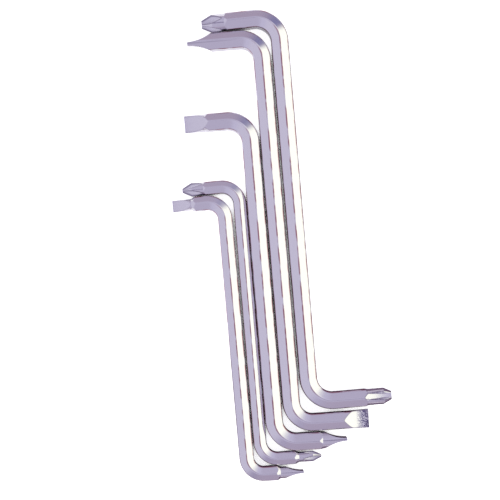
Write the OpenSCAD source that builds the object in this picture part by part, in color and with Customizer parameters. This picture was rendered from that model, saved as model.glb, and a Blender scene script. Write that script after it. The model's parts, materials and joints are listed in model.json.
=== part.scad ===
// Set of five offset screwdrivers, nested side by side as they lie on a bench.
// Each driver is one piece of hexagonal bar, bent to a Z, with a driving tip worked on both ends.
// Every bar lies on one of its corners, so two of its faces look up and two of its flats stand upright.

/* [Set] */
// Clearance between the arms of neighbouring drivers at their closest point
arm_gap = 0.2; // [0.1:0.05:1]
// Depth that the corners of every bar are rounded off, as a share of its size across the flats
corner_break_share = 0.02; // [0.01:0.005:0.05]
// How much thicker a bar is in its bends than along its straights
bend_swell = 0.05; // [0.03:0.01:0.2]

/* [Large cross driver] */
// Size across the flats of the bar
large_cross_flats = 6; // [5.5:0.1:6.5]
// Distance between the centre lines of the two arms
large_cross_span = 134; // [110:1:160]
// Reach of the upper arm, from the centre line of the shaft to the nose
large_cross_upper_reach = 26.5; // [24:0.1:32]
// Reach of the lower arm
large_cross_lower_reach = 28.2; // [25:0.1:34]
// Radius of both bends on the centre line
large_cross_bend_r = 8.3; // [6:0.1:10]
// Angle that the upper bend turns through
large_cross_upper_turn = 91; // [88:0.5:93]
// Angle that the lower bend turns through
large_cross_lower_turn = 90; // [88:0.5:93]
// Diameter over the four wings of the upper point
large_cross_upper_wing_d = 6.3; // [5.6:0.1:6.8]
// Diameter of its blunt nose
large_cross_upper_nose_d = 2.7; // [1.8:0.1:3]
// Length of its cone, from the nose to the widest part of the wings
large_cross_upper_cone_l = 3.6; // [2.5:0.1:4.5]
// Diameter of the neck behind its wings
large_cross_upper_neck_d = 5.9; // [4.6:0.1:6]
// Length of its head, from the nose to the neck
large_cross_upper_head_l = 7.9; // [6:0.1:9]
// Distance from the axis to the bottom of its flutes at the nose
large_cross_upper_core_r = 0.6; // [0.4:0.05:0.9]
// Radius of the wheel that cuts its flutes
large_cross_upper_wheel_r = 11.5; // [8:0.5:14]
// Width of the flat bottom of its flutes
large_cross_upper_flute_w = 0.2; // [0:0.05:0.4]
// Angle between the two walls of a flute
large_cross_upper_flute_angle = 92; // [80:1:100]
// Angle from upright to the next wing, clockwise as seen from the nose
large_cross_upper_wing_angle = 25; // [0:1:89]
// Diameter over the four wings of the lower point
large_cross_lower_wing_d = 6.2; // [5.6:0.1:6.8]
// Diameter of its blunt nose
large_cross_lower_nose_d = 3.3; // [2.8:0.1:3.8]
// Length of its cone, from the nose to the widest part of the wings
large_cross_lower_cone_l = 2.7; // [2:0.1:4.5]
// Diameter of the neck behind its wings
large_cross_lower_neck_d = 5.9; // [4.6:0.1:6]
// Length of its head, from the nose to the neck
large_cross_lower_head_l = 8.3; // [6:0.1:9]
// Distance from the axis to the bottom of its flutes at the nose
large_cross_lower_core_r = 1.2; // [1.15:0.05:1.3]
// Radius of the wheel that cuts its flutes
large_cross_lower_wheel_r = 22; // [20:0.5:26]
// Width of the flat bottom of its flutes
large_cross_lower_flute_w = 2; // [1.6:0.05:2.1]
// Angle between the two walls of a flute
large_cross_lower_flute_angle = 45; // [30:1:50]
// Angle from upright to the next wing, clockwise as seen from the nose
large_cross_lower_wing_angle = 53; // [0:1:89]
// Angle of the turned shoulder between the neck and the bar, from the axis
large_cross_shoulder_angle = 25; // [20:1:40]

/* [Large slotted driver] */
// Size across the flats of the bar
large_slotted_flats = 6; // [5.5:0.1:6.5]
// Distance between the centre lines of the two arms
large_slotted_span = 134; // [110:1:160]
// Reach of the upper arm
large_slotted_upper_reach = 25.4; // [22:0.1:30]
// Reach of the lower arm
large_slotted_lower_reach = 26.3; // [22:0.1:30]
// Radius of both bends on the centre line
large_slotted_bend_r = 7.4; // [6:0.1:10]
// Angle that the upper bend turns through
large_slotted_upper_turn = 90; // [88:0.5:93]
// Angle that the lower bend turns through
large_slotted_lower_turn = 89; // [88:0.5:93]
// Width of the blade
large_slotted_blade_w = 6.5; // [5.8:0.1:6.6]
// Thickness of the blade at its end
large_slotted_blade_t = 1.2; // [0.8:0.1:1.6]
// Radius of the wheel that hollows the blade
large_slotted_wheel_r = 15; // [11:0.5:18]
// Angle from upright to the upper blade, clockwise as seen from its end
large_slotted_upper_blade_angle = 10; // [0:1:20]
// Clearance from the shaft to its right-hand neighbour
large_slotted_side_gap = 0.6; // [0.2:0.05:2]

/* [Medium slotted driver] */
// Size across the flats of the bar
medium_slotted_flats = 6; // [5.5:0.1:6.5]
// Distance between the centre lines of the two arms
medium_slotted_span = 112.5; // [90:0.5:130]
// Reach of the upper arm
medium_slotted_upper_reach = 22.3; // [21:0.1:28]
// Reach of the lower arm
medium_slotted_lower_reach = 24.6; // [21:0.1:28]
// Radius of both bends on the centre line
medium_slotted_bend_r = 7.8; // [6:0.1:9]
// Angle that the upper bend turns through
medium_slotted_upper_turn = 90; // [88:0.5:93]
// Angle that the lower bend turns through
medium_slotted_lower_turn = 88.6; // [88:0.2:93]
// Diameter that the ends are turned down to, which is also the width of the blade
medium_slotted_blade_w = 5.95; // [5:0.05:5.95]
// Thickness of the blade at its end
medium_slotted_blade_t = 1; // [0.6:0.1:1.4]
// Radius of the wheel that hollows the blade
medium_slotted_wheel_r = 13.5; // [9:0.5:15]
// Length of the turned part of the upper end
medium_slotted_upper_turned_l = 7.1; // [5:0.1:9]
// Length of the turned part of the lower end
medium_slotted_lower_turned_l = 8.4; // [5:0.1:9]
// Angle of the turned shoulder, from the axis
medium_slotted_shoulder_angle = 17; // [15:1:40]
// Clearance from the shaft to its right-hand neighbour
medium_slotted_side_gap = 0.4; // [0.2:0.05:2]

/* [Small cross driver] */
// Size across the flats of the bar
small_cross_flats = 4.5; // [4.2:0.1:5]
// Distance between the centre lines of the two arms
small_cross_span = 95.5; // [75:0.5:110]
// Reach of the upper arm
small_cross_upper_reach = 19.5; // [18:0.1:24]
// Reach of the lower arm
small_cross_lower_reach = 20.9; // [18:0.1:24]
// Radius of both bends on the centre line
small_cross_bend_r = 6.2; // [5:0.1:7]
// Angle that the upper bend turns through
small_cross_upper_turn = 90.5; // [88:0.5:93]
// Angle that the lower bend turns through
small_cross_lower_turn = 89; // [88:0.5:93]
// Diameter over the four wings of the upper point
small_cross_upper_wing_d = 4.7; // [4:0.1:5]
// Diameter of its blunt nose
small_cross_upper_nose_d = 1.4; // [1.1:0.1:2]
// Length of its cone, from the nose to the widest part of the wings
small_cross_upper_cone_l = 3.2; // [2:0.1:4]
// Diameter of the neck behind its wings
small_cross_upper_neck_d = 4.4; // [3.6:0.1:4.4]
// Length of its head, from the nose to the neck
small_cross_upper_head_l = 7.3; // [6:0.1:8]
// Distance from the axis to the bottom of its flutes at the nose
small_cross_upper_core_r = 0.38; // [0.3:0.02:0.5]
// Radius of the wheel that cuts its flutes
small_cross_upper_wheel_r = 14.5; // [10:0.5:18]
// Width of the flat bottom of its flutes
small_cross_upper_flute_w = 0.1; // [0:0.05:0.2]
// Angle between the two walls of a flute
small_cross_upper_flute_angle = 92; // [80:1:100]
// Angle from upright to the next wing, clockwise as seen from the nose
small_cross_upper_wing_angle = 0; // [0:1:89]
// Diameter over the four wings of the lower point
small_cross_lower_wing_d = 3.7; // [3.4:0.1:4.5]
// Diameter of its blunt nose
small_cross_lower_nose_d = 0.9; // [0.8:0.1:1.5]
// Length of its cone, from the nose to the widest part of the wings
small_cross_lower_cone_l = 3; // [2:0.1:4]
// Diameter of the neck behind its wings
small_cross_lower_neck_d = 3.4; // [3:0.1:4]
// Length of its head, from the nose to the neck
small_cross_lower_head_l = 7.8; // [6:0.1:8]
// Distance from the axis to the bottom of its flutes at the nose
small_cross_lower_core_r = 0.32; // [0.26:0.02:0.36]
// Radius of the wheel that cuts its flutes
small_cross_lower_wheel_r = 15; // [10:0.5:18]
// Width of the flat bottom of its flutes
small_cross_lower_flute_w = 0.1; // [0:0.05:0.2]
// Angle between the two walls of a flute
small_cross_lower_flute_angle = 92; // [80:1:100]
// Angle from upright to the next wing, clockwise as seen from the nose
small_cross_lower_wing_angle = 20; // [0:1:89]
// Angle of the turned shoulder, from the axis
small_cross_shoulder_angle = 27; // [20:1:40]
// Clearance from the shaft to its right-hand neighbour
small_cross_side_gap = 0.25; // [0.2:0.05:2]

/* [Small slotted driver] */
// Size across the flats of the bar
small_slotted_flats = 5; // [4.5:0.1:5.5]
// Distance between the centre lines of the two arms
small_slotted_span = 95.2; // [75:0.1:110]
// Reach of the upper arm
small_slotted_upper_reach = 17.8; // [17:0.1:22]
// Reach of the lower arm
small_slotted_lower_reach = 19.3; // [18:0.1:24]
// Radius of both bends on the centre line
small_slotted_bend_r = 6; // [5:0.1:6.5]
// Angle that the upper bend turns through
small_slotted_upper_turn = 91; // [88:0.5:93]
// Angle that the lower bend turns through
small_slotted_lower_turn = 88; // [86:0.5:93]
// Diameter that the ends are turned down to, which is also the width of the blade
small_slotted_blade_w = 4; // [3:0.1:4.8]
// Thickness of the blade at its end
small_slotted_blade_t = 0.8; // [0.5:0.1:1.2]
// Radius of the wheel that hollows the blade
small_slotted_wheel_r = 13; // [8:0.5:14]
// Length of the turned part of the upper end
small_slotted_upper_turned_l = 6.6; // [5:0.1:7]
// Length of the turned part of the lower end
small_slotted_lower_turned_l = 8; // [5:0.1:8.5]
// Angle of the turned shoulder, from the axis
small_slotted_shoulder_angle = 31; // [20:1:40]
// Clearance from the shaft to its right-hand neighbour
small_slotted_side_gap = 0.3; // [0.2:0.05:2]
// Angle that this driver lies askew of the others
small_slotted_lie_angle = 0.3; // [0:0.1:1]

/* [Hidden] */
$fn = 96;
right_angle = 90;
half_turn = 180;
side_count = 6;
side_angle = 60;
flute_count = 4;
flat_angle = 0;
on_edge_angle = 90;
square_angle = 0;
// How far the straights reach into a bend, and a cross head into its shoulder
seam_bite = 0.2;
// Thickness of the spread part of a blade's blank, as a share of the bar's size across the flats
blank_share = 0.4;
// Depth of a flute wheel's edge, as a share of the diameter over the wings
wheel_edge_share = 0.75;
plated_steel = [0.74, 0.72, 0.78];

// Distance from the axis of a bar to its sharp corners, and to its rounded ones
function corner_r(flats) = flats / 2 / cos(right_angle / 3);
function rest_r(flats) = corner_r(flats) - flats * corner_break_share;

// Size across the flats of a bar in its bends
function bend_flats(flats) = flats + bend_swell;

// Distance from the end of a blade at which the hollow is as thick as the bar's upright flat is high
function spread_l(flats, blade_t, wheel_r) =
    sqrt(pow(wheel_r, 2) - pow(wheel_r - corner_r(flats) / 2 + blade_t / 2, 2));

// The plan of each driver, for laying the set: bar size, span of the arms, then the reach, the angle
// and the half width of the upper arm and of the lower arm, the bend, the side gap, the lie, and the
// half width of each tip at its end and its length
function flats_of(plan) = plan[0];
function span_of(plan) = plan[1];
function reach_of(plan, end) = plan[2][end];
function turn_of(plan, end) = plan[3][end];
function half_w_of(plan, end) = plan[4][end];
function bend_of(plan) = plan[5];
function side_gap_of(plan) = plan[6];
function lie_of(plan) = plan[7];
function end_half_w_of(plan, end) = plan[8][end];
function tip_l_of(plan, end) = plan[9][end];
UPPER = 0;
LOWER = 1;
large_slotted_spread_l = spread_l(large_slotted_flats, large_slotted_blade_t, large_slotted_wheel_r);
plans = [
    [large_cross_flats, large_cross_span,
        [large_cross_upper_reach, large_cross_lower_reach],
        [large_cross_upper_turn, large_cross_lower_turn],
        [max(large_cross_flats, large_cross_upper_wing_d) / 2,
            max(large_cross_flats, large_cross_lower_wing_d) / 2],
        large_cross_bend_r, 0, square_angle,
        [large_cross_upper_nose_d / 2, large_cross_lower_nose_d / 2],
        [large_cross_upper_head_l, large_cross_lower_head_l]],
    [large_slotted_flats, large_slotted_span,
        [large_slotted_upper_reach, large_slotted_lower_reach],
        [large_slotted_upper_turn, large_slotted_lower_turn],
        [large_slotted_flats / 2, max(large_slotted_flats, large_slotted_blade_w) / 2],
        large_slotted_bend_r, large_slotted_side_gap, square_angle,
        [large_slotted_blade_t / 2, large_slotted_blade_w / 2],
        large_slotted_spread_l * [1, 1]],
    [medium_slotted_flats, medium_slotted_span,
        [medium_slotted_upper_reach, medium_slotted_lower_reach],
        [medium_slotted_upper_turn, medium_slotted_lower_turn],
        [medium_slotted_flats / 2, medium_slotted_flats / 2],
        medium_slotted_bend_r, medium_slotted_side_gap, square_angle,
        [medium_slotted_blade_w / 2, medium_slotted_blade_t / 2],
        [medium_slotted_upper_turned_l, medium_slotted_lower_turned_l]],
    [small_cross_flats, small_cross_span,
        [small_cross_upper_reach, small_cross_lower_reach],
        [small_cross_upper_turn, small_cross_lower_turn],
        [max(small_cross_flats, small_cross_upper_wing_d) / 2,
            max(small_cross_flats, small_cross_lower_wing_d) / 2],
        small_cross_bend_r, small_cross_side_gap, square_angle,
        [small_cross_upper_nose_d / 2, small_cross_lower_nose_d / 2],
        [small_cross_upper_head_l, small_cross_lower_head_l]],
    [small_slotted_flats, small_slotted_span,
        [small_slotted_upper_reach, small_slotted_lower_reach],
        [small_slotted_upper_turn, small_slotted_lower_turn],
        [small_slotted_flats / 2, small_slotted_flats / 2],
        small_slotted_bend_r, small_slotted_side_gap, small_slotted_lie_angle,
        [small_slotted_blade_w / 2, small_slotted_blade_t / 2],
        [small_slotted_upper_turned_l, small_slotted_lower_turned_l]],
];

// Slope of an arm in the plan: zero where it stands square to the shafts
function slope(plan, end) = turn_of(plan, end) - right_angle + lie_of(plan);
function half_depth(plan, end) = half_w_of(plan, end) / cos(slope(plan, end));

// How far the arm of the next driver has to start below that of its right-hand neighbour, so that
// the two clear each other at x, where dx is the distance between the two shafts
function drop(x, dx, plan, next, end) =
    x * tan(slope(plan, end)) - (x + dx) * tan(slope(next, end))
    - half_depth(plan, end) - half_depth(next, end) - arm_gap;
function lower_drop(dx, plan, next) =
    min(
        drop(bend_of(plan), dx, plan, next, LOWER),
        drop(min(reach_of(plan, LOWER), reach_of(next, LOWER) - dx), dx, plan, next, LOWER)
    );
function upper_drop(dx, plan, next) =
    min(
        drop(-dx - bend_of(next), dx, plan, next, UPPER),
        drop(max(-reach_of(plan, UPPER), -dx - reach_of(next, UPPER)), dx, plan, next, UPPER)
    );

// Step from the middle of one shaft to the middle of the next: to the left until the shafts have
// their side gap, and down until both arms clear
function side_step(plan, next) =
    (flats_of(plan) + flats_of(next)) / 2 + side_gap_of(next)
    + max(span_of(plan), span_of(next)) / 2 * tan(abs(lie_of(next) - lie_of(plan)));
function down_step(plan, next, dx) =
    min(
        lower_drop(dx, plan, next) + (span_of(next) - span_of(plan)) / 2,
        upper_drop(dx, plan, next) + (span_of(plan) - span_of(next)) / 2
    );
function step(plan, next) =
    [-side_step(plan, next), down_step(plan, next, side_step(plan, next))];
function lay(i) = i == 0 ? [0, 0] : lay(i - 1) + step(plans[i - 1], plans[i]);

// Outermost points of a driver in plan: the outside of each bend, and the corners of the bar's end
// and of the tip on each arm
function turned(p, angle) =
    [p[0] * cos(angle) - p[1] * sin(angle), p[0] * sin(angle) + p[1] * cos(angle)];
function run(plan, end) = span_of(plan) / 2 - bend_of(plan) * tan(turn_of(plan, end) / 2);
function lower_points(plan, end, lie) = [
    turned([bend_of(plan), -run(plan, end) - bend_of(plan) - bend_flats(flats_of(plan)) / 2], lie),
    for (side = [-1, 1])
        for (corner = [
            [reach_of(plan, end), end_half_w_of(plan, end)],
            [reach_of(plan, end) - tip_l_of(plan, end), flats_of(plan) / 2],
        ])
            turned([0, -span_of(plan) / 2], lie)
            + turned([corner[0], side * corner[1]], slope(plan, end)),
];
function outer_points(i) = [
    for (p = lower_points(plans[i], LOWER, lie_of(plans[i]))) lay(i) + p,
    for (p = lower_points(plans[i], UPPER, lie_of(plans[i]))) lay(i) - p,
];
set_points = [for (i = [0:len(plans) - 1]) each outer_points(i)];
set_x = [for (p = set_points) p[0]];
set_y = [for (p = set_points) p[1]];
set_centre = [(min(set_x) + max(set_x)) / 2, (min(set_y) + max(set_y)) / 2];

// Section of a bar: flats to the left and right, corners above and below, every corner rounded off
module bar_section(flats) {
    corner_break = flats * corner_break_share;
    polygon([
        for (i = [0:side_count - 1])
            for (side = [-1, 1])
                turned(
                    [rest_r(flats), side * corner_break * tan(side_angle)],
                    right_angle + i * side_angle
                )
    ]);
}

// A straight stretch of bar that rises from the plane z = 0
module bar(flats, length) {
    linear_extrude(height = length) bar_section(flats);
}

// A stretch of bar whose last part, turned_l long, is turned down to a round of radius end_r
module turned_bar(flats, length, end_r, turned_l, shoulder_angle) {
    outer = corner_r(flats);
    shoulder_l = (outer - end_r) / tan(shoulder_angle);
    intersection() {
        bar(flats, length);
        rotate_extrude()
            polygon([
                [0, 0],
                [outer, 0],
                [outer, length - turned_l - shoulder_l],
                [end_r, length - turned_l],
                [end_r, length],
                [0, length],
            ]);
    }
}

// The wheel that hollows one side of a blade, with its lowest point over the blade's end
module hollow_wheel(length, blade_t, wheel_r, width) {
    translate([0, blade_t / 2 + wheel_r, length])
        rotate([0, right_angle, 0])
            cylinder(r = wheel_r, h = width, center = true);
}

// Both hollows of a blade; its width runs from flat to flat, or with the angle from corner to corner
module blade_grind(length, blade_t, wheel_r, width, blade_angle) {
    rotate([0, 0, blade_angle])
        for (side = [0, half_turn])
            rotate([0, 0, side]) hollow_wheel(length, blade_t, wheel_r, width);
}

// An arm with a blade ground on a turned end
module turned_blade_arm(flats, length, blade_w, blade_t, wheel_r, turned_l, shoulder_angle, blade_angle) {
    difference() {
        turned_bar(flats, length, blade_w / 2, turned_l, shoulder_angle);
        blade_grind(length, blade_t, wheel_r, 2 * flats, blade_angle);
    }
}

// An arm with a blade ground straight on the bar. Its sides run from the bar's width, where the
// hollow begins, to the blade's. The bar is spread there if the blade is the wider, or else trimmed.
module spread_blade_arm(flats, length, blade_w, blade_t, wheel_r, blade_angle) {
    root_w = blade_angle == flat_angle ? flats : 2 * rest_r(flats);
    start_w = blade_w + (root_w - blade_w) * length / spread_l(flats, blade_t, wheel_r);
    difference() {
        if (blade_w > root_w)
            union() {
                bar(flats, length);
                blade_blank(length, start_w, blade_w, flats * blank_share, blade_angle);
            }
        else
            intersection() {
                bar(flats, length);
                blade_blank(length, start_w, blade_w, 2 * flats, blade_angle);
            }
        blade_grind(length, blade_t, wheel_r, 2 * flats, blade_angle);
    }
}

// A flat wedge along an arm, from its width at the bend to its width at the tip
module blade_blank(length, start_w, end_w, thick, blade_angle) {
    rotate([right_angle, 0, blade_angle])
        linear_extrude(height = thick, center = true)
            polygon([[-start_w / 2, 0], [start_w / 2, 0], [end_w / 2, length], [-end_w / 2, length]]);
}

// The wheel that cuts one flute: a disc with a V-shaped edge that ends in a narrow flat, its lowest
// point over the nose
module flute_wheel(length, wing_d, core_r, wheel_r, flute_w, flute_angle) {
    edge = wing_d * wheel_edge_share;
    half_w = flute_w / 2 + edge * tan(flute_angle / 2);
    translate([core_r + wheel_r, 0, length])
        rotate([right_angle, 0, 0])
            rotate_extrude()
                polygon([
                    [0, -half_w],
                    [wheel_r - edge, -half_w],
                    [wheel_r, -flute_w / 2],
                    [wheel_r, flute_w / 2],
                    [wheel_r - edge, half_w],
                    [0, half_w],
                ]);
}

// An arm with a cross point: a turned neck, a forged head and four flutes
module cross_arm(
    flats, length, wing_d, nose_d, cone_l, neck_d, head_l, core_r, wheel_r, flute_w, flute_angle,
    shoulder_angle, wing_angle
) {
    difference() {
        union() {
            turned_bar(flats, length - head_l, neck_d / 2, 0, shoulder_angle);
            translate([0, 0, length - head_l])
                rotate_extrude()
                    polygon([
                        [0, -seam_bite],
                        [neck_d / 2, -seam_bite],
                        [wing_d / 2, head_l - cone_l],
                        [nose_d / 2, head_l],
                        [0, head_l],
                    ]);
        }
        for (i = [0:flute_count - 1])
            rotate([0, 0, (i + 1 / 2) * right_angle - wing_angle])
                flute_wheel(length, wing_d, core_r, wheel_r, flute_w, flute_angle);
    }
}

// One end of a driver: the bend at the end of the shaft, and the arm after it, which is the child
module bent_end(flats, half_span, bend_r, turn) {
    translate([bend_r, -shaft_l(half_span, bend_r, turn), 0]) {
        rotate([0, 0, half_turn])
            rotate_extrude(angle = turn) translate([bend_r, 0]) bar_section(bend_flats(flats));
        rotate([0, 0, turn])
            translate([-bend_r, 0, 0])
                rotate([right_angle, 0, 0]) translate([0, 0, -seam_bite]) children();
    }
}

// Straight length of half a shaft, and of an arm with the bite that it takes into its bend
function shaft_l(half_span, bend_r, turn) = half_span - bend_r * tan(turn / 2);
function arm_l(reach, bend_r, turn) = reach - bend_r * tan(turn / 2) + seam_bite;

// A driver in its place in the set, resting on the corners of its bends: the shaft, and an arm on
// each end of it
module laid(i) {
    plan = plans[i];
    flats = flats_of(plan);
    place = lay(i) - set_centre;
    lower_l = shaft_l(span_of(plan) / 2, bend_of(plan), turn_of(plan, LOWER)) + seam_bite;
    upper_l = shaft_l(span_of(plan) / 2, bend_of(plan), turn_of(plan, UPPER)) + seam_bite;
    translate([place[0], place[1], rest_r(bend_flats(flats))])
        rotate([0, 0, lie_of(plan)]) {
            translate([0, upper_l, 0]) rotate([right_angle, 0, 0]) bar(flats, lower_l + upper_l);
            bent_end(flats, span_of(plan) / 2, bend_of(plan), turn_of(plan, LOWER)) children(LOWER);
            rotate([0, 0, half_turn])
                bent_end(flats, span_of(plan) / 2, bend_of(plan), turn_of(plan, UPPER)) children(UPPER);
        }
}

module large_cross_driver() {
    color(plated_steel) laid(0) {
        cross_arm(
            large_cross_flats,
            arm_l(large_cross_upper_reach, large_cross_bend_r, large_cross_upper_turn),
            large_cross_upper_wing_d, large_cross_upper_nose_d, large_cross_upper_cone_l,
            large_cross_upper_neck_d, large_cross_upper_head_l, large_cross_upper_core_r,
            large_cross_upper_wheel_r, large_cross_upper_flute_w, large_cross_upper_flute_angle,
            large_cross_shoulder_angle, large_cross_upper_wing_angle
        );
        cross_arm(
            large_cross_flats,
            arm_l(large_cross_lower_reach, large_cross_bend_r, large_cross_lower_turn),
            large_cross_lower_wing_d, large_cross_lower_nose_d, large_cross_lower_cone_l,
            large_cross_lower_neck_d, large_cross_lower_head_l, large_cross_lower_core_r,
            large_cross_lower_wheel_r, large_cross_lower_flute_w, large_cross_lower_flute_angle,
            large_cross_shoulder_angle, large_cross_lower_wing_angle
        );
    }
}

module large_slotted_driver() {
    color(plated_steel) laid(1) {
        spread_blade_arm(
            large_slotted_flats,
            arm_l(large_slotted_upper_reach, large_slotted_bend_r, large_slotted_upper_turn),
            large_slotted_blade_w, large_slotted_blade_t, large_slotted_wheel_r,
            on_edge_angle - large_slotted_upper_blade_angle
        );
        spread_blade_arm(
            large_slotted_flats,
            arm_l(large_slotted_lower_reach, large_slotted_bend_r, large_slotted_lower_turn),
            large_slotted_blade_w, large_slotted_blade_t, large_slotted_wheel_r, flat_angle
        );
    }
}

module medium_slotted_driver() {
    color(plated_steel) laid(2) {
        turned_blade_arm(
            medium_slotted_flats,
            arm_l(medium_slotted_upper_reach, medium_slotted_bend_r, medium_slotted_upper_turn),
            medium_slotted_blade_w, medium_slotted_blade_t, medium_slotted_wheel_r,
            medium_slotted_upper_turned_l, medium_slotted_shoulder_angle, flat_angle
        );
        turned_blade_arm(
            medium_slotted_flats,
            arm_l(medium_slotted_lower_reach, medium_slotted_bend_r, medium_slotted_lower_turn),
            medium_slotted_blade_w, medium_slotted_blade_t, medium_slotted_wheel_r,
            medium_slotted_lower_turned_l, medium_slotted_shoulder_angle, on_edge_angle
        );
    }
}

module small_cross_driver() {
    color(plated_steel) laid(3) {
        cross_arm(
            small_cross_flats,
            arm_l(small_cross_upper_reach, small_cross_bend_r, small_cross_upper_turn),
            small_cross_upper_wing_d, small_cross_upper_nose_d, small_cross_upper_cone_l,
            small_cross_upper_neck_d, small_cross_upper_head_l, small_cross_upper_core_r,
            small_cross_upper_wheel_r, small_cross_upper_flute_w, small_cross_upper_flute_angle,
            small_cross_shoulder_angle, small_cross_upper_wing_angle
        );
        cross_arm(
            small_cross_flats,
            arm_l(small_cross_lower_reach, small_cross_bend_r, small_cross_lower_turn),
            small_cross_lower_wing_d, small_cross_lower_nose_d, small_cross_lower_cone_l,
            small_cross_lower_neck_d, small_cross_lower_head_l, small_cross_lower_core_r,
            small_cross_lower_wheel_r, small_cross_lower_flute_w, small_cross_lower_flute_angle,
            small_cross_shoulder_angle, small_cross_lower_wing_angle
        );
    }
}

module small_slotted_driver() {
    color(plated_steel) laid(4) {
        turned_blade_arm(
            small_slotted_flats,
            arm_l(small_slotted_upper_reach, small_slotted_bend_r, small_slotted_upper_turn),
            small_slotted_blade_w, small_slotted_blade_t, small_slotted_wheel_r,
            small_slotted_upper_turned_l, small_slotted_shoulder_angle, flat_angle
        );
        turned_blade_arm(
            small_slotted_flats,
            arm_l(small_slotted_lower_reach, small_slotted_bend_r, small_slotted_lower_turn),
            small_slotted_blade_w, small_slotted_blade_t, small_slotted_wheel_r,
            small_slotted_lower_turned_l, small_slotted_shoulder_angle, on_edge_angle
        );
    }
}

large_cross_driver();
large_slotted_driver();
medium_slotted_driver();
small_cross_driver();
small_slotted_driver();
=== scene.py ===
# %% [markdown]
# A nested set of offset screwdrivers. Each one is a single piece of hexagonal steel bar, bent twice
# to a Z, plated, with a slotted blade or a cross point worked on both ends. Nothing is fitted to the
# bar, so each driver is one closed skin here too. The CAD model tells where every driver's ends lie:
# this script loads it as a fixed frame, and puts a finer skin over each of its solids.

import json
import math

import bpy
import bmesh
import numpy as np
from mathutils import Matrix, Vector


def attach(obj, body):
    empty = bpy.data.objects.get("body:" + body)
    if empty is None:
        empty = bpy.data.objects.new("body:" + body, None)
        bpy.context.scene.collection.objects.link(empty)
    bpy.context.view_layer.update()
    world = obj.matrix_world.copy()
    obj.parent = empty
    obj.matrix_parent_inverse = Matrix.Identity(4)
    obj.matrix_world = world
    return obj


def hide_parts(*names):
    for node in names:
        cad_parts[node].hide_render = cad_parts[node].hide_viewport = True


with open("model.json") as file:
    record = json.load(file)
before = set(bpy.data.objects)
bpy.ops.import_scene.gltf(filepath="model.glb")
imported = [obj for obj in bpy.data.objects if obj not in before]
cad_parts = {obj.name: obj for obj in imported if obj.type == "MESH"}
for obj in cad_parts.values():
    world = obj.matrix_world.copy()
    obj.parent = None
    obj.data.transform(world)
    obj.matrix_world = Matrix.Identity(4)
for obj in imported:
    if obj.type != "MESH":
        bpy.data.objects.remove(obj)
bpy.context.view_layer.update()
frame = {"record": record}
scene = bpy.context.scene

# %% [markdown]
# The frame holds the end and the direction of each tip. The other sizes are written here as the CAD
# model has them: each bar's size across the flats, how far each arm reaches from the shaft, the
# radius of the bends and the cuts on the tips. They are in millimetres and degrees, as on a maker's
# drawing, and turned into metres where a mesh is made. A pair gives the upper end first. The last two
# entries belong to the finish: how much painted shade darkens the very end of a tip, and which blade
# has a coarse grind.

# %% Sizes of the drivers
MM = 0.001
CORNER_SHARE = 0.02

LARGE_CROSS = {
    "flats": 6.0, "bend": 8.3, "reach": (26.5, 28.2), "point": "cross", "shoulder": 25,
    "turned": (7.9, 8.3), "neck": (5.9, 5.9), "wing": (6.3, 6.2), "nose": (2.7, 3.3),
    "cone": (3.6, 2.7), "core": (0.6, 1.2), "wheel": (11.5, 22.0), "flute": (0.2, 2.0),
    "flute_angle": (92, 45), "stand": (25, 53),
    "end_rim": (1, 1), "coarse": (0, 0),
}
LARGE_SLOTTED = {
    "flats": 6.0, "bend": 7.4, "reach": (25.4, 26.3), "point": "spread blade", "width": 6.5,
    "thick": 1.2, "wheel": 15.0, "stand": (100, 0),
    "end_rim": (0, 1), "coarse": (0, 1),
}
MEDIUM_SLOTTED = {
    "flats": 6.0, "bend": 7.8, "reach": (22.3, 24.6), "point": "turned blade", "turned": (7.1, 8.4),
    "shoulder": 17, "width": 5.95, "thick": 1.0, "wheel": 13.5, "stand": (0, 90),
    "end_rim": (0, 0.6), "coarse": (0, 0),
}
SMALL_CROSS = {
    "flats": 4.5, "bend": 6.2, "reach": (19.5, 20.9), "point": "cross", "shoulder": 27,
    "turned": (7.3, 7.8), "neck": (4.4, 3.4), "wing": (4.7, 3.7), "nose": (1.4, 0.9),
    "cone": (3.2, 3.0), "core": (0.38, 0.32), "wheel": (14.5, 15.0), "flute": (0.1, 0.1),
    "flute_angle": (92, 92), "stand": (0, 20),
    "end_rim": (0.5, 1), "coarse": (0, 0),
}
SMALL_SLOTTED = {
    "flats": 5.0, "bend": 6.0, "reach": (17.8, 19.3), "point": "turned blade", "turned": (6.6, 8.0),
    "shoulder": 31, "width": 4.0, "thick": 0.8, "wheel": 13.0, "stand": (0, 90),
    "end_rim": (0, 0.8), "coarse": (0, 0),
}
DRIVERS = {
    "large_cross": LARGE_CROSS,
    "large_slotted": LARGE_SLOTTED,
    "medium_slotted": MEDIUM_SLOTTED,
    "small_cross": SMALL_CROSS,
    "small_slotted": SMALL_SLOTTED,
}
print(len(DRIVERS), "drivers")

# %% [markdown]
# Shader maths reads best as plain expressions. The class below wraps one output socket, so that
# `1 - mask` or `mask * 0.2` adds the Math node it stands for. One method makes every other node.

# %% A small language for shader nodes


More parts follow.
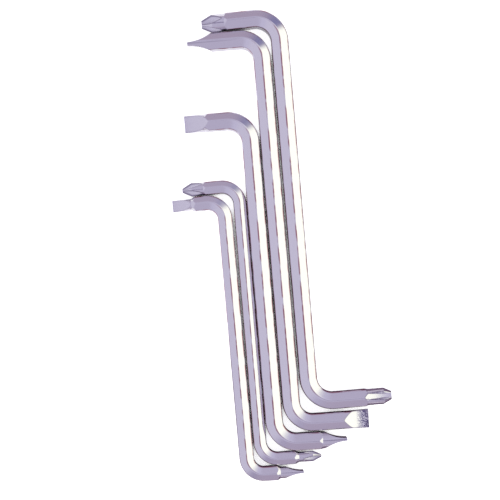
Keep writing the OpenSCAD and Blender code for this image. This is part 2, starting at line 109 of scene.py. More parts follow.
class Socket:
    """One value in a node tree, with arithmetic that adds Math nodes."""

    def __init__(self, tree, output):
        self.tree = tree
        self.output = output

    def node(self, kind, values=None, output=0, **settings):
        """Makes a node, sets it up, fills or links its inputs, and returns one of its outputs."""
        made = self.tree.nodes.new(kind)
        for name, value in settings.items():
            setattr(made, name, value)
        for key, value in (values or {}).items():
            plug(self.tree, made.inputs[key], value)
        return Socket(self.tree, made.outputs[output] if made.outputs else None)

    def math(self, operation, *values):
        return self.node("ShaderNodeMath", dict(enumerate(values)), operation=operation)

    def __add__(self, other):
        return self.math("ADD", self, other)

    def __sub__(self, other):
        return self.math("SUBTRACT", self, other)

    def __rsub__(self, other):
        return self.math("SUBTRACT", other, self)

    def __mul__(self, other):
        return self.math("MULTIPLY", self, other)

    def __truediv__(self, other):
        return self.math("DIVIDE", self, other)

    __radd__ = __add__
    __rmul__ = __mul__

    def split(self):
        """The three parts of a vector."""
        parts = self.node("ShaderNodeSeparateXYZ", {0: self})
        return [Socket(self.tree, output) for output in parts.output.node.outputs]

    def between(self, low, high):
        """0 at low and below, 1 at high and above, with a soft ramp between."""
        ends = {"Value": self, "From Min": low, "From Max": high}
        return self.node("ShaderNodeMapRange", ends, interpolation_type="SMOOTHSTEP")

    def mix(self, low, high):
        """The colour low where this value is 0 and high where it is 1."""
        return self.node("ShaderNodeMix", {0: self, 6: low, 7: high}, output=2, data_type="RGBA")


def plug(tree, socket, value):
    """Links a Socket, or writes a plain number or colour on the input."""
    if isinstance(value, Socket):
        tree.links.new(value.output, socket)
    else:
        if isinstance(value, tuple) and len(value) == 3 and socket.type == "RGBA":
            value = (*value, 1.0)
        socket.default_value = value


def start(tree):
    """An empty handle on a tree, from which the first nodes are made."""
    tree.nodes.clear()
    return Socket(tree, None)


print("a Socket can", ", ".join(name for name in vars(Socket) if name[0] != "_"))

# %% [markdown]
# The finish looks like bright nickel over drawn steel. Drawing leaves long fine marks along the bar,
# and they were there before it was bent, so the pattern is laid in the coordinates of the straight
# bar: every point of the mesh carries them as an attribute, and the marks then follow the bends by
# themselves. Two more attributes say where a point was turned on a lathe and where it was ground: the
# marks run round the axis there, or are finer and shorter, and the plating is a little duller. Three
# more carry painted colour: a painted dark reflection in a coppery tone on the corners of the bar,
# painted shade in dark lines along the rims of the cuts and at the very ends of the tips, and the dark
# grain of the one coarse blade.

# %% Colours and grain of the plating, with its painted shade and painted reflection
PLATING = (0.78, 0.76, 0.81)
PLATING_DULL = (0.70, 0.68, 0.74)
# painted dark reflection on the corners of the bar, in a coppery tone
PAINTED_CORNER_REFLECTION = (0.38, 0.16, 0.2)
# painted shade: dark lines along the rims of the cuts and at the very ends of the tips
PAINTED_RIM_SHADE = (0.15, 0.11, 0.2)
COARSE_DARK = (0.16, 0.14, 0.27)
RIM_STRENGTH = 0.9

# How finely each noise is laid, per metre in three directions: large numbers give short waves.
DRAWN_GRAIN = (5500.0, 5500.0, 60.0)
LATHE_GRAIN = (200.0, 200.0, 9000.0)
WHEEL_GRAIN = (4200.0, 4200.0, 2200.0)
CLOUD_GRAIN = (160.0, 160.0, 160.0)
PIT_GRAIN = (4200.0, 4200.0, 4200.0)
CORNER_STREAK_GRAIN = (900.0, 900.0, 260.0)
COARSE_GRAIN = (2600.0, 2600.0, 2600.0)

# From where to where a noise fades in.
PIT_FADE = (0.62, 0.74)
CORNER_STREAK_FADE = (0.36, 0.58)
COARSE_FADE = (0.4, 0.6)

# How much each mark dulls the plating, and how rough it makes it.
PIT_DULLS = 0.25
GROUND_PIT_DULLS = 0.5
CLOUD_DULLS = 0.35
ROUGH = 0.09
CLOUD_ROUGH = 0.04
GROUND_ROUGH = 0.1
TURNED_ROUGH = 0.04
MARK_ROUGH = 0.03

# Heights in millimetres.
MARK_HEIGHT = 0.0012
GROUND_MARK_HEIGHT = 0.022
PIT_DEPTH = 0.0005
print("ground marks are up to", round(1000 * (MARK_HEIGHT + GROUND_MARK_HEIGHT), 1), "thousandths high")

# %% Plated steel


def plated_steel():
    made = bpy.data.materials.new("plated_steel")
    made.use_nodes = True
    pen = start(made.node_tree)

    def attribute(name, output="Fac"):
        return pen.node("ShaderNodeAttribute", output=output, attribute_name=name)

    def grain(coordinates, fineness, detail=3.0):
        scaled = pen.node("ShaderNodeMapping", {"Vector": coordinates, "Scale": fineness})
        return pen.node("ShaderNodeTexNoise", {"Vector": scaled, "Scale": 1.0, "Detail": detail})

    straight = attribute("straight_bar", "Vector")
    ground, turned = attribute("ground"), attribute("turned")
    corner, rim, coarse = attribute("corner"), attribute("rim"), attribute("coarse")
    place = pen.node("ShaderNodeTexCoord", output="Object")

    drawn = grain(straight, DRAWN_GRAIN)
    lathe = grain(straight, LATHE_GRAIN)
    wheel = grain(straight, WHEEL_GRAIN, detail=2.0)
    # streaks that break up the painted corner reflection
    corner_streaks = grain(straight, CORNER_STREAK_GRAIN, detail=4.0).between(*CORNER_STREAK_FADE)
    cloud = grain(place, CLOUD_GRAIN)
    pits = grain(place, PIT_GRAIN, detail=2.0).between(*PIT_FADE)
    grit = grain(place, COARSE_GRAIN, detail=1.0).between(*COARSE_FADE)

    bar = (1 - ground) * (1 - turned)
    marks = drawn * bar + lathe * turned * (1 - ground) + wheel * ground
    tone = pits * (PIT_DULLS + GROUND_PIT_DULLS * ground) + (cloud - 0.5) * CLOUD_DULLS
    # the corners get the painted dark reflection in a coppery tone
    with_corner_reflection = (corner * corner_streaks).mix(tone.mix(PLATING, PLATING_DULL), PAINTED_CORNER_REFLECTION)
    gritty = (coarse * grit).mix(with_corner_reflection, COARSE_DARK)
    # painted shade along the rims of the cuts and at the very ends of the tips
    colour = (rim * RIM_STRENGTH).mix(gritty, PAINTED_RIM_SHADE)
    roughness = ROUGH + CLOUD_ROUGH * cloud + GROUND_ROUGH * ground + TURNED_ROUGH * turned
    roughness = roughness + MARK_ROUGH * marks
    height = marks * (MARK_HEIGHT + GROUND_MARK_HEIGHT * ground) * MM - pits * PIT_DEPTH * MM
    normal = pen.node("ShaderNodeBump", {"Strength": 1.0, "Distance": 1.0, "Height": height})
    shader = pen.node(
        "ShaderNodeBsdfPrincipled",
        {"Base Color": colour, "Roughness": roughness, "Metallic": 1.0, "Normal": normal},
    )
    pen.node("ShaderNodeOutputMaterial", {"Surface": shader})
    return made


steel = plated_steel()
print("material:", steel.name, "with", len(steel.node_tree.nodes), "nodes")

# %% [markdown]
# The section of a bar is a hexagon whose corners are rounded by drawing. Seen from the axis, each
# flat lies at half the bar's size divided by the cosine of the angle from its normal, and the nearest
# flat is the smallest of those. A smooth minimum rounds the corner where two of them meet. The same
# rule is written twice: as Geometry Nodes for the sweep, and in Python for the tips.

# %% The rule of the hexagon
SIDE_ANGLE = math.radians(60)
ROUND_PER_DEPTH = 6.0


def smooth_min(a, b, distance):
    """The smaller of two values, eased where they differ by less than distance."""
    near = np.clip(distance - np.abs(a - b), 0, None) / distance
    return np.minimum(a, b) - near**3 * distance / ROUND_PER_DEPTH


def hexagon(flats, angle):
    """Distance from the axis to a bar's skin at an angle, with flats to the left and right."""
    turn = np.mod(angle, SIDE_ANGLE)
    near = flats / 2 / np.cos(turn)
    far = flats / 2 / np.cos(SIDE_ANGLE - turn)
    return smooth_min(near, far, flats * CORNER_SHARE * ROUND_PER_DEPTH)


print("corner of a 6 mm bar at", round(float(hexagon(6.0, math.radians(90))), 3), "mm from its axis")

# %% [markdown]
# The bar follows a path, so Geometry Nodes sweep it: the tree below bends a circle into the rounded
# hexagon and carries it along the driver's line. It stores how far along the path each point lies,
# and at which angle round it, so that the tips can be worked later.

# %% The tree that sweeps a bar
COLUMNS = 192


def sweep_tree():
    tree = bpy.data.node_groups.new("bar_sweep", "GeometryNodeTree")
    face = tree.interface
    face.new_socket("Path", in_out="INPUT", socket_type="NodeSocketGeometry")
    face.new_socket("Across Flats", in_out="INPUT", socket_type="NodeSocketFloat")
    face.new_socket("Corner Ease", in_out="INPUT", socket_type="NodeSocketFloat")
    face.new_socket("Columns", in_out="INPUT", socket_type="NodeSocketInt")
    face.new_socket("Finish", in_out="INPUT", socket_type="NodeSocketMaterial")
    face.new_socket("Bar", in_out="OUTPUT", socket_type="NodeSocketGeometry")
    tree.nodes.new("NodeGroupInput")
    pen = Socket(tree, None)
    given = {s.name: Socket(tree, s) for s in tree.nodes[0].outputs if s.name}

    place = pen.node("GeometryNodeInputPosition")
    x, y, _ = place.split()
    angle = pen.math("ARCTAN2", y, x)
    turn = pen.math("FLOORED_MODULO", angle, SIDE_ANGLE)
    half = given["Across Flats"] / 2
    near = half / pen.math("COSINE", turn)
    far = half / pen.math("COSINE", SIDE_ANGLE - turn)
    radius = pen.math("SMOOTH_MIN", near, far, given["Corner Ease"])
    direction = pen.node("ShaderNodeVectorMath", {0: place}, operation="NORMALIZE")
    skin = pen.node("ShaderNodeVectorMath", {0: direction, "Scale": radius}, operation="SCALE")

    def store(geometry, name, value):
        values = {"Geometry": geometry, "Name": name, "Value": value}
        return pen.node("GeometryNodeStoreNamedAttribute", values)

    circle = pen.node("GeometryNodeCurvePrimitiveCircle", {"Resolution": given["Columns"], "Radius": 1.0})
    marked = store(circle, "around", angle)
    profile = pen.node("GeometryNodeSetPosition", {"Geometry": marked, "Position": skin})

    upright = pen.node("GeometryNodeSetCurveNormal", {0: given["Path"]}, mode="Z_UP")
    measured = store(upright, "along", pen.node("GeometryNodeSplineParameter", output="Length"))
    swept = pen.node(
        "GeometryNodeCurveToMesh",
        {"Curve": measured, "Profile Curve": profile, "Fill Caps": True},
    )
    real = pen.node("GeometryNodeRealizeInstances", {0: swept})
    dressed = pen.node("GeometryNodeSetMaterial", {0: real, "Material": given["Finish"]})
    pen.node("NodeGroupOutput", {0: dressed})
    return tree


tree = sweep_tree()
print("sweep tree has", len(tree.nodes), "nodes")

# %% [markdown]
# The record of the CAD model holds the middle of each tip's end and the way it points. Going back
# from there by the arm's reach gives the corner where the arm's line meets the shaft's, so the whole
# path of a driver follows from four points and the radius of its bends. Rings stand close together
# in the bends and closer still on the tips, and far apart along the straights.

# %% The path of a driver
TIP_ZONE = 10.5
TIP_STEP = 0.09
END_ROUND = 0.07
END_STEPS = 5
BEND_STEP = math.radians(2)

tips = {m["name"]: (Vector(m["pos_m"]) / MM, Vector(m["axis"])) for m in frame["record"]["mounts"]}


def tip_stations():
    """Distances from the end of a tip at which its rings stand."""
    curl = [END_ROUND * (1 - math.cos(math.pi / 2 * i / END_STEPS)) for i in range(END_STEPS)]
    steps = round((TIP_ZONE - END_ROUND) / TIP_STEP)
    return curl + [END_ROUND + (TIP_ZONE - END_ROUND) * i / steps for i in range(steps + 1)]


def bend_points(before, corner, after, radius):
    """Points on the arc of a bend that rounds a corner of the path."""
    way_in = (corner - before).normalized()
    way_out = (after - corner).normalized()
    turn = way_in.angle(way_out)
    back = radius * math.tan(turn / 2)
    centre = corner - way_in * back + (way_out - way_in * math.cos(turn)).normalized() * radius
    steps = math.ceil(turn / BEND_STEP)
    first = corner - way_in * back - centre
    sense = 1 if way_in.cross(way_out).z > 0 else -1
    return [centre + Matrix.Rotation(sense * turn * i / steps, 3, "Z") @ first for i in range(steps + 1)]


def driver_path(name, sizes):
    """The ring centres of a driver from its upper tip to its lower one, in mm, its ends and their axes."""
    ends, axes, corners = [], [], []
    for end, reach in zip(("upper", "lower"), sizes["reach"]):
        tip, axis = tips[f"{name}_{end}_tip"]
        axis = axis.normalized()
        ends.append(tip)
        axes.append(axis)
        corners.append(tip - axis * reach)
    stations = tip_stations()
    points = [ends[0] - axes[0] * s for s in stations]
    points += bend_points(ends[0], corners[0], corners[1], sizes["bend"])
    points += bend_points(corners[0], corners[1], ends[1], sizes["bend"])
    points += [ends[1] - axes[1] * s for s in reversed(stations)]
    return points, ends, axes


for name, sizes in DRIVERS.items():
    print(name, "has", len(driver_path(name, sizes)[0]), "rings")

# %% [markdown]
# A tip is shaped ring by ring. A ray from the axis runs out until it meets the first surface that
# limits it: the bar's own flats, the round that a lathe left, the hollow of a grinding wheel, or the
# wall of a flute. Taking the smallest of those distances is the same as cutting the bar with each of
# these tools, and a smooth minimum breaks every edge a little, as plating does.

# %% What the tools leave
EDGE_EASE = 0.07
FAR = 1e3
LEAST_SHARE = 1e-4
HALVINGS = 24


def limit(distance, direction):
    """How far a ray gets before a plane: its distance along the normal, over the ray's share of it."""
    return distance / np.maximum(np.abs(direction), LEAST_SHARE)


def wheel_depth(wheel, d):
    """How far the rim of a wheel has risen, d away from its lowest point."""
    return wheel - np.sqrt(np.clip(wheel**2 - d**2, 0, None))


def blade_hollow(sizes, d, angle, stand, inset):
    """The two hollows of a blade, which are deepest at its end."""
    half = sizes["thick"] / 2 + wheel_depth(sizes["wheel"], d) - inset
    return limit(half, np.sin(angle - math.radians(stand)))


def flute_wall(sizes, end, d, angle, inset, blank):
    """The walls of the four flutes, found by halving steps, and how deep the blank's skin lies in them."""
    quarter = math.pi / 2
    off = np.mod(angle - math.radians(sizes["stand"][end]), quarter) - quarter / 2
    slope = math.tan(math.radians(sizes["flute_angle"][end] / 2))
    wheel, flat = sizes["wheel"][end], sizes["flute"][end] / 2

    def depth(r):
        rim = wheel - np.clip(np.abs(r * np.sin(off)) - flat, 0, None) / slope
        reach = sizes["core"][end] - inset + wheel - np.sqrt(np.clip(rim**2 - d**2, 0, None))
        return r * np.cos(off) - reach

    low, high = np.zeros_like(off), np.full_like(off, sizes["wing"][end])
    cut = depth(high) > 0
    for _ in range(HALVINGS):
        middle = (low + high) / 2
        deep = depth(middle) > 0
        high = np.where(deep, middle, high)
        low = np.where(deep, low, middle)
    return np.where(cut, high, FAR), depth(blank)


print("edges are eased over", EDGE_EASE, "mm")

# %% [markdown]
# The three kinds of point differ in what limits the ray. On a turned blade the end is turned round
# first and then hollowed from two sides. On a spread blade the bar itself is hollowed, and its sides
# are hammered wider, or trimmed where the blade stands on edge. A cross point has a turned head,
# which narrows to its neck and in a cone to its nose, and four flutes. Each rule gives three things:
# where the skin lies, how far a lathe cut into the bar, and how deep the wheel went.

# %% The three kinds of point
SPREAD_SHARE = 0.4
NO_LATHE = -1.0
ALL_LATHE = 1.0


def turned_blade(sizes, end, d, angle, inset):
    width = sizes["width"] / 2
    past = np.clip(d - sizes["turned"][end], 0, None)
    lathe = width - inset + past * math.tan(math.radians(sizes["shoulder"]))
    bar = hexagon(sizes["flats"], angle)
    blank = smooth_min(bar, lathe, EDGE_EASE)
    cut = blade_hollow(sizes, d, angle, sizes["stand"][end], inset)
    return smooth_min(blank, cut, EDGE_EASE), bar - lathe, blank - cut


def spread_blade(sizes, end, d, angle, inset):
    stand = sizes["stand"][end]
    rest = float(hexagon(sizes["flats"], math.pi / 2))
    root = sizes["flats"] / 2 if stand == 0 else rest
    rise = rest / 2 - sizes["thick"] / 2
    spread = math.sqrt(sizes["wheel"] ** 2 - (sizes["wheel"] - rise) ** 2)
    half = sizes["width"] / 2 + (root - sizes["width"] / 2) * d / spread - inset
    side = limit(half, np.cos(angle - math.radians(stand)))
    bar = hexagon(sizes["flats"], angle)
    if stand == 0:
        wing = smooth_min(side, limit(SPREAD_SHARE * sizes["flats"] / 2, np.sin(angle)), EDGE_EASE)
        blank = np.maximum(bar - inset, np.where(d < spread, wing, 0))
    else:
        blank = smooth_min(bar - inset, side, EDGE_EASE)
    cut = blade_hollow(sizes, d, angle, stand, inset)
    return smooth_min(blank, cut, EDGE_EASE), np.full_like(d, NO_LATHE), blank - cut


def cross_point(sizes, end, d, angle, inset):
    nose, wing, neck = (sizes[part][end] / 2 for part in ("nose", "wing", "neck"))
    head_l = sizes["turned"][end]
    head = np.interp(d, (0, sizes["cone"][end], head_l), (nose, wing, neck)) - inset
    past = np.clip(d - head_l, 0, None)
    shoulder = neck + past * math.tan(math.radians(sizes["shoulder"]))
    bar = hexagon(sizes["flats"], angle)
    blank = np.where(d < head_l, head, smooth_min(bar, shoulder, EDGE_EASE))
    cut, depth = flute_wall(sizes, end, d, angle, inset, blank)
    return smooth_min(blank, cut, EDGE_EASE), np.where(d < head_l, ALL_LATHE, bar - shoulder), depth


POINTS = {"turned blade": turned_blade, "spread blade": spread_blade, "cross": cross_point}
print("kinds of point:", ", ".join(POINTS))

# %% [markdown]
# Each driver starts as the plain bent bar. A polyline through the ring centres carries the Geometry
# Nodes modifier, and new_from_object turns what it makes into an ordinary mesh, whose points can then
# be moved one by one.

# %% Sweep a bar


def swept_bar(name, sizes, points):
    """The plain bent bar, as a mesh in metres."""
    line = bpy.data.curves.new(name + "_path", "CURVE")
    line.dimensions = "3D"
    spline = line.splines.new("POLY")
    spline.points.add(len(points) - 1)
    for point, place in zip(spline.points, points):
        point.co = (*(place * MM), 1.0)
    holder = bpy.data.objects.new(name + "_path", line)
    scene.collection.objects.link(holder)
    modifier = holder.modifiers.new("sweep", "NODES")
    modifier.node_group = tree
    wanted = {
        "Across Flats": sizes["flats"] * MM,
        "Corner Ease": sizes["flats"] * CORNER_SHARE * ROUND_PER_DEPTH * MM,
        "Columns": COLUMNS,
        "Finish": steel,
    }
    for item in tree.interface.items_tree:
        if item.in_out == "INPUT" and item.name in wanted:
            modifier[item.identifier] = wanted[item.name]
    graph = bpy.context.evaluated_depsgraph_get()
    mesh = bpy.data.meshes.new_from_object(holder.evaluated_get(graph), depsgraph=graph)
    bpy.data.objects.remove(holder)
    return mesh


def read(mesh, name):
    """The values of a number attribute, one for each point."""
    values = np.zeros(len(mesh.vertices), np.float32)
    mesh.attributes[name].data.foreach_get("value", values)
    return values.astype(float)


def write(mesh, name, kind, values):
    """Stores an attribute on the points."""
    made = mesh.attributes.new(name, kind, "POINT")
    field = "vector" if kind == "FLOAT_VECTOR" else "value"
    made.data.foreach_set(field, values.astype(np.float32).ravel())


print("each ring has", COLUMNS, "points")

# %% [markdown]
# Two of the painted marks need a distance. The painted shade of a rim, a dark line, runs where a cut
# meets the blank. How deep a point lies in the cut, divided by how steeply that depth changes there, is
# about its distance from the rim. The painted dark reflection, in a coppery tone, runs along the six
# corners of the bar. It is wider on one side of the shaft than on the other, and on the upper corners it
# fades out along the arms.

# %% Rims and corners
RIM_WIDTH = 0.18
RIM_STEEPNESS = 1.5
RIM_STEP = 0.02
LEAST_SLOPE = 1e-3
CREST_SHARE = 0.45
CREST_WIDTH = math.radians(6)
WIDE_SIDE_WIDTH = math.radians(11)
OTHER_SIDE_WIDTH = math.radians(4.5)
CORNER_STEEPNESS = 1.7
CREST_FADE = 6
CREST_AT_CORNER = 0.6


def rim_distance(sizes, end, d, angle, inset, depth, radius):
    """How far in mm a point lies from the rim of a cut: its depth over the slope of that depth."""
    rule = POINTS[sizes["point"]]
    lengthwise = (rule(sizes, end, d + RIM_STEP, angle, inset)[2] - depth) / RIM_STEP
    crosswise = (rule(sizes, end, d, angle + RIM_STEP, inset)[2] - depth) / (RIM_STEP * radius)
    return np.abs(depth) / np.maximum(np.hypot(lengthwise, crosswise), LEAST_SLOPE)


def corner_reflection_mask(sizes, along, around, height, wide_sense):
    """How strongly the painted corner reflection lies on a point, from its angle round the bar and its
    height in mm.
    """
    off = np.abs(np.mod(around, SIDE_ANGLE) - SIDE_ANGLE / 2)
    crest = height > CREST_SHARE * sizes["flats"]
    wide_side = np.cos(around) * wide_sense > 0
    width = np.where(crest, CREST_WIDTH, np.where(wide_side, WIDE_SIDE_WIDTH, OTHER_SIDE_WIDTH))
    corner = np.clip(CORNER_STEEPNESS - CORNER_STEEPNESS * off / width, 0, 1)
    upper, lower = sizes["reach"]
    from_bends = np.minimum(along - upper, along.max() - along - lower)
    on_shaft = np.clip(from_bends / CREST_FADE + CREST_AT_CORNER, 0, 1)
    return np.where(crest, corner * on_shaft, corner)


print("a rim's dark line is", RIM_WIDTH, "mm wide on each side")

# %% [markdown]
# Now the tips are worked. The rings near both ends are moved to where the rules put them, and the
# attributes for the finish are written. The sweep's own angle is zero on one side of the path, and
# the first tip tells which side of the shaft that is.

# %% Work the tips
MASK_DEPTH = 0.03
RIM_SHARE = {"cross": 0.85, "spread blade": 0.6, "turned blade": 0.15}
END_RIM = 0.16
COARSE_FROM = (4.4, 2.6)
UP = np.array((0, 0, 1.0))


def work_tips(mesh, sizes, ends, axes):
    """Moves the rings of both tips, and writes the attributes that the finish reads."""
    along, around = read(mesh, "along") / MM, read(mesh, "around")
    total = along.max()
    place = np.zeros(len(mesh.vertices) * 3, np.float32)
    mesh.vertices.foreach_get("co", place)
    place = place.reshape(-1, 3).astype(float)
    turned, ground, rim, coarse = (np.zeros(len(along)) for _ in range(4))
    kind = sizes["point"]
    for end in (0, 1):
        d = along if end == 0 else total - along
        near = d <= TIP_ZONE + TIP_STEP / 2
        d = d[near]
        axis = np.array(axes[end])
        centre = np.array(ends[end]) - np.outer(d, axis)
        out = place[near] / MM - centre
        side = np.cross(axis, UP)
        angle = np.arctan2(out @ UP, out @ side)
        if end == 0:
            wide_sense = np.sign(np.sum(np.cos(around[near]) * (out @ side)))
        curl = np.clip(END_ROUND - d, 0, None)
        inset = END_ROUND - np.sqrt(END_ROUND**2 - curl**2)
        radius, by_lathe, by_wheel = POINTS[kind](sizes, end, d, angle, inset)
        ray = np.outer(np.cos(angle), side) + np.outer(np.sin(angle), UP)
        place[near] = (centre + ray * radius[:, None]) * MM
        turned[near] = np.clip(by_lathe / MASK_DEPTH, 0, 1)
        ground[near] = np.clip(by_wheel / MASK_DEPTH, 0, 1)
        # the rim attribute is painted shade: dark lines along the cut rims and at the very end of a tip
        away = rim_distance(sizes, end, d, angle, inset, by_wheel, radius)
        edge = np.clip(RIM_STEEPNESS - RIM_STEEPNESS * away / RIM_WIDTH, 0, 1) * RIM_SHARE[kind]
        nose = np.clip(1 - d / END_RIM, 0, 1) * sizes["end_rim"][end]
        rim[near] = np.maximum(edge, nose)
        fade = np.clip((COARSE_FROM[0] - d) / (COARSE_FROM[0] - COARSE_FROM[1]), 0, 1)
        coarse[near] = fade * ground[near] * sizes["coarse"][end]
    mesh.vertices.foreach_set("co", place.astype(np.float32).ravel())
    height = place[:, 2] / MM - ends[0].z
    # painted dark reflection along the bar's corners, kept off turned and ground metal
    painted_corners = corner_reflection_mask(sizes, along, around, height, wide_sense) * (1 - turned) * (1 - ground)
    half = sizes["flats"] / 2 * MM
    straight = np.stack((half * np.cos(around), half * np.sin(around), along * MM), axis=1)
    write(mesh, "straight_bar", "FLOAT_VECTOR", straight)
    masks = {"corner": painted_corners, "rim": rim, "coarse": coarse, "turned": turned, "ground": ground}
    for name, values in masks.items():
        write(mesh, name, "FLOAT", values)


print("a tip is worked over", TIP_ZONE, "mm")

# %% [markdown]
# Last, the flat caps get a middle point so that their triangles stay even, and each skin is parented
# to an empty for its driver's body, while the plain solid of the CAD model is hidden.

# %% Make the drivers


def close_caps(mesh):
    """Gives each end cap a middle point, and makes every normal point outwards."""
    work = bmesh.new()
    work.from_mesh(mesh)
    caps = [face for face in work.faces if len(face.verts) > 4]
    bmesh.ops.poke(work, faces=caps)
    bmesh.ops.recalc_face_normals(work, faces=work.faces)
    for face in work.faces:
        face.smooth = True
    work.to_mesh(mesh)
    work.free()


def make_driver(name, sizes):
    points, ends, axes = driver_path(name, sizes)
    mesh = swept_bar(name, sizes, points)
    work_tips(mesh, sizes, ends, axes)
    close_caps(mesh)
    piece = bpy.data.objects.new(name + "_skin", mesh)
    scene.collection.objects.link(piece)
    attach(piece, name)
    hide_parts(name + "_driver")
    print(piece.name, "has", len(mesh.polygons), "faces")


for name, sizes in DRIVERS.items():
    make_driver(name, sizes)

# %% [markdown]
# The studio has a white paper floor. It glows for the camera, which then sees it white, and much less
# for rays that leave the metal, and it takes shadows as paper does. Between the bars and right under
# them both the paper and its glow turn dark, because hardly any light gets in there: an Ambient
# Occlusion node knows how closed in each point of the floor is. To the right and in front the floor
# carries a painted reflection of a dark card: it turns dark for rays that leave the metal, while the
# camera still sees white paper, and no card stands in the scene. Such cards are used in studios to give
# bright metal a dark line along its edges, because without one a white face on white paper has no
# outline.

# %% Floor
FLOOR_SIZE = 4.0
PAPER = (0.8, 0.8, 0.8)
PAPER_CLOSED_IN = (0.06, 0.06, 0.07)
GLOW_FOR_CAMERA = 0.8
GLOW_FOR_METAL = 0.2
GLOW_REACH = 4 * MM
GLOW_OPEN = (0.12, 0.17)
# painted reflection: the floor's colour for rays from the metal, to the right and in front of the set
PAINTED_CARD_REFLECTION = (0.2, 0.14, 0.2)
CARD_LEFT_EDGE = (9 * MM, 14 * MM)
CARD_FRONT_EDGE = (-30 * MM, -42 * MM)


def ray_is(pen, kind):
    """1 for rays of one kind and 0 for all others."""
    return pen.node("ShaderNodeLightPath", output=f"Is {kind} Ray")


def white_floor():
    made = bpy.data.materials.new("white_floor")
    made.use_nodes = True
    pen = start(made.node_tree)
    glossy = ray_is(pen, "Glossy")
    direct = pen.math("MAXIMUM", ray_is(pen, "Camera"), ray_is(pen, "Transmission"))
    seen = direct * GLOW_FOR_CAMERA + glossy * GLOW_FOR_METAL
    x, y, _ = pen.node("ShaderNodeTexCoord", output="Object").split()
    open_sky = pen.node("ShaderNodeAmbientOcclusion", {"Distance": GLOW_REACH}, output="AO")
    openness = open_sky.between(*GLOW_OPEN)
    paper = pen.node("ShaderNodeBsdfDiffuse", {"Color": openness.mix(PAPER_CLOSED_IN, PAPER)})
    glow = pen.node("ShaderNodeEmission", {"Strength": seen * openness})
    lit = pen.node("ShaderNodeAddShader", {0: paper, 1: glow})
    # a painted reflection of a dark card: the floor turns dark there for rays from the metal only
    card_reflection = pen.node("ShaderNodeBsdfDiffuse", {"Color": PAINTED_CARD_REFLECTION})
    in_card_reflection = pen.math("MAXIMUM", x.between(*CARD_LEFT_EDGE), y.between(*CARD_FRONT_EDGE))
    both = pen.node("ShaderNodeMixShader", {0: glossy * in_card_reflection, 1: lit, 2: card_reflection})
    pen.node("ShaderNodeOutputMaterial", {"Surface": both})
    return made


bpy.ops.mesh.primitive_plane_add(size=FLOOR_SIZE)
floor = bpy.context.object
floor.name = "floor"
floor.data.materials.append(white_floor())
print("floor", FLOOR_SIZE, "m wide")

# %% [markdown]
# Metal has hardly a colour of its own: it shows what stands round it. Every flat of a bar looks in
# one direction, so a white face hints at a white softbox there and a mauve one at a dim wall. The sky
# below was chosen so that the bars take the tones of the photograph: a tall softbox to the right with
# a dark flag low beside its back edge, dim walls behind and in front with a lighter ceiling over them
# and a bright bench low down, a pale wall to the left, and the dark camera overhead. Angles are in
# degrees, azimuth from +X towards +Y. The camera itself sees plain white.

# %% Sky and softbox
SOFTBOX = (1.36, 1.39, 1.20)
BOX_TOP = (66, 53)
BOX_RIGHT_EDGE_LOW = (-32, -20)
BOX_RIGHT_EDGE_HIGH = (-52, -38)
BOX_LEFT_EDGE_LOW = (44, 30)
BOX_LEFT_EDGE_HIGH = (62, 20)
CEILING = (0.62, 0.59, 0.76)
WALL = (0.36, 0.31, 0.45)
WALL_TOP = (18, 34)
CEILING_STRAIGHT = (0.54, 0.50, 0.65)
WALL_STRAIGHT = (0.45, 0.38, 0.50)
STRAIGHT_ON = (0.88, 0.998)
PALE_WALL = (0.67, 0.64, 0.78)
PALE_SIDE = (-0.5, -0.85)
CAMERA_DARK = (0.26, 0.22, 0.35)
CAMERA_WAY = Vector((0.13, -0.12, 0.985)).normalized()
CAMERA_EDGE = (0.985, 0.997)
BENCH = (0.92, 0.89, 0.98)
BENCH_TOP = (12, 4)
BENCH_SIDE = (0.55, 0.8)
FLAG = (0.25, 0.24, 0.43)
FLAG_RIGHT_EDGE = (36, 46)
FLAG_LEFT_EDGE = (66, 52)
WHITE = (1.0, 1.0, 1.0)
LEAST_FLAT = 0.001


def slanted_edge(turn, high, edge_low, edge_high):
    """An edge that stands at one azimuth low down and at another high up."""
    low_down, high_up = turn.between(*edge_low), turn.between(*edge_high)
    return low_down + (high_up - low_down) * high


def studio_sky():
    world = bpy.data.worlds.new("studio")
    scene.world = world
    world.use_nodes = True
    pen = start(world.node_tree)
    way = pen.node("ShaderNodeTexCoord", output="Generated")
    x, y, z = way.split()
    flat = pen.math("MAXIMUM", pen.math("SQRT", x * x + y * y), LEAST_FLAT)
    height = pen.math("DEGREES", pen.math("ARCTAN2", z, flat))
    turn = pen.math("DEGREES", pen.math("ARCTAN2", y, x))
    high = height.between(*WALL_TOP)
    behind_or_in_front = pen.math("ABSOLUTE", y / flat)
    straight_on = behind_or_in_front.between(*STRAIGHT_ON)
    walls = straight_on.mix(WALL, WALL_STRAIGHT)
    ceiling = straight_on.mix(CEILING, CEILING_STRAIGHT)
    room = (x / flat).between(*PALE_SIDE).mix(high.mix(walls, ceiling), PALE_WALL)
    left_edge = slanted_edge(turn, high, BOX_LEFT_EDGE_LOW, BOX_LEFT_EDGE_HIGH)
    right_edge = slanted_edge(turn, high, BOX_RIGHT_EDGE_LOW, BOX_RIGHT_EDGE_HIGH)
    box = left_edge * right_edge * height.between(*BOX_TOP)
    bench = behind_or_in_front.between(*BENCH_SIDE) * height.between(*BENCH_TOP)
    flag = turn.between(*FLAG_RIGHT_EDGE) * turn.between(*FLAG_LEFT_EDGE) * (1 - high)
    lit_room = bench.mix(flag.mix(room, FLAG), BENCH)
    overhead = pen.node("ShaderNodeVectorMath", {0: way, 1: CAMERA_WAY}, "Value", operation="DOT_PRODUCT")
    sky = overhead.between(*CAMERA_EDGE).mix(box.mix(lit_room, SOFTBOX), CAMERA_DARK)
    light = pen.node("ShaderNodeBackground", {"Color": ray_is(pen, "Camera").mix(sky, WHITE)})
    pen.node("ShaderNodeOutputWorld", {"Surface": light})
    return len(world.node_tree.nodes)


print("the sky has", studio_sky(), "nodes")
scene.view_settings.view_transform = "Standard"

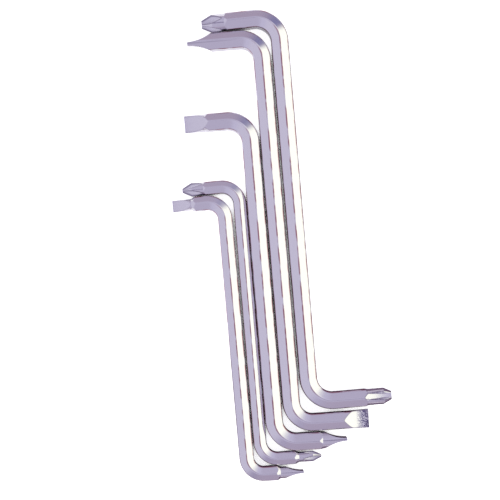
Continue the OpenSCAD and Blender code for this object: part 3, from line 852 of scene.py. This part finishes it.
# %% [markdown]
# A lamp at the front left lights the paper, so that each bar has a soft shadow behind it and to its
# right. It is hidden from reflections, because the sky alone gives the metal its tones.

# %% Lamp
LAMP_PLACE = Vector((-0.5, -0.6, 0.8))
LAMP_SIZE = 0.35
LAMP_POWER = 6.0

lamp = bpy.data.lights.new("front_left", "AREA")
lamp.size = LAMP_SIZE
lamp.energy = LAMP_POWER
lamp_holder = bpy.data.objects.new("front_left", lamp)
lamp_holder.location = LAMP_PLACE
lamp_holder.rotation_euler = (-LAMP_PLACE).to_track_quat("-Z", "Y").to_euler()
lamp_holder.visible_glossy = False
scene.collection.objects.link(lamp_holder)
print("lamp", round(LAMP_PLACE.length, 2), "m away")

# %% [markdown]
# The photograph was taken looking straight down, with the shafts turned five degrees in the picture.
# A camera that is tilted towards the middle of the set would make the bars run together at one end,
# so this one stays level and its film is shifted, as on a view camera. Where it stands decides which
# sides of the bars show: below the middle, so that the lower arms show a little of their far side.

# %% Camera
VIEW_WIDTH = 173.5 * MM
VIEW_CENTRE = Vector((-9.5, -1.1)) * MM
CAMERA_FOOT = Vector((-14.0, -22.0)) * MM
CAMERA_ABOVE = 385.0 * MM
CAMERA_TURN = math.radians(-4.84)

axis_height = tips["large_cross_upper_tip"][0].z * MM
right = Vector((math.cos(CAMERA_TURN), math.sin(CAMERA_TURN)))
up = Vector((-math.sin(CAMERA_TURN), math.cos(CAMERA_TURN)))
shift = VIEW_CENTRE - CAMERA_FOOT
eye = bpy.data.cameras.new("camera")
eye.lens = eye.sensor_width * CAMERA_ABOVE / VIEW_WIDTH
eye.shift_x = shift.dot(right) / VIEW_WIDTH
eye.shift_y = shift.dot(up) / VIEW_WIDTH
camera = bpy.data.objects.new("camera", eye)
camera.location = (*CAMERA_FOOT, axis_height + CAMERA_ABOVE)
camera.rotation_euler = (0, 0, CAMERA_TURN)
scene.collection.objects.link(camera)
scene.camera = camera
print("lens", round(eye.lens, 1), "mm, shifted by", round(eye.shift_x, 3), round(eye.shift_y, 3))
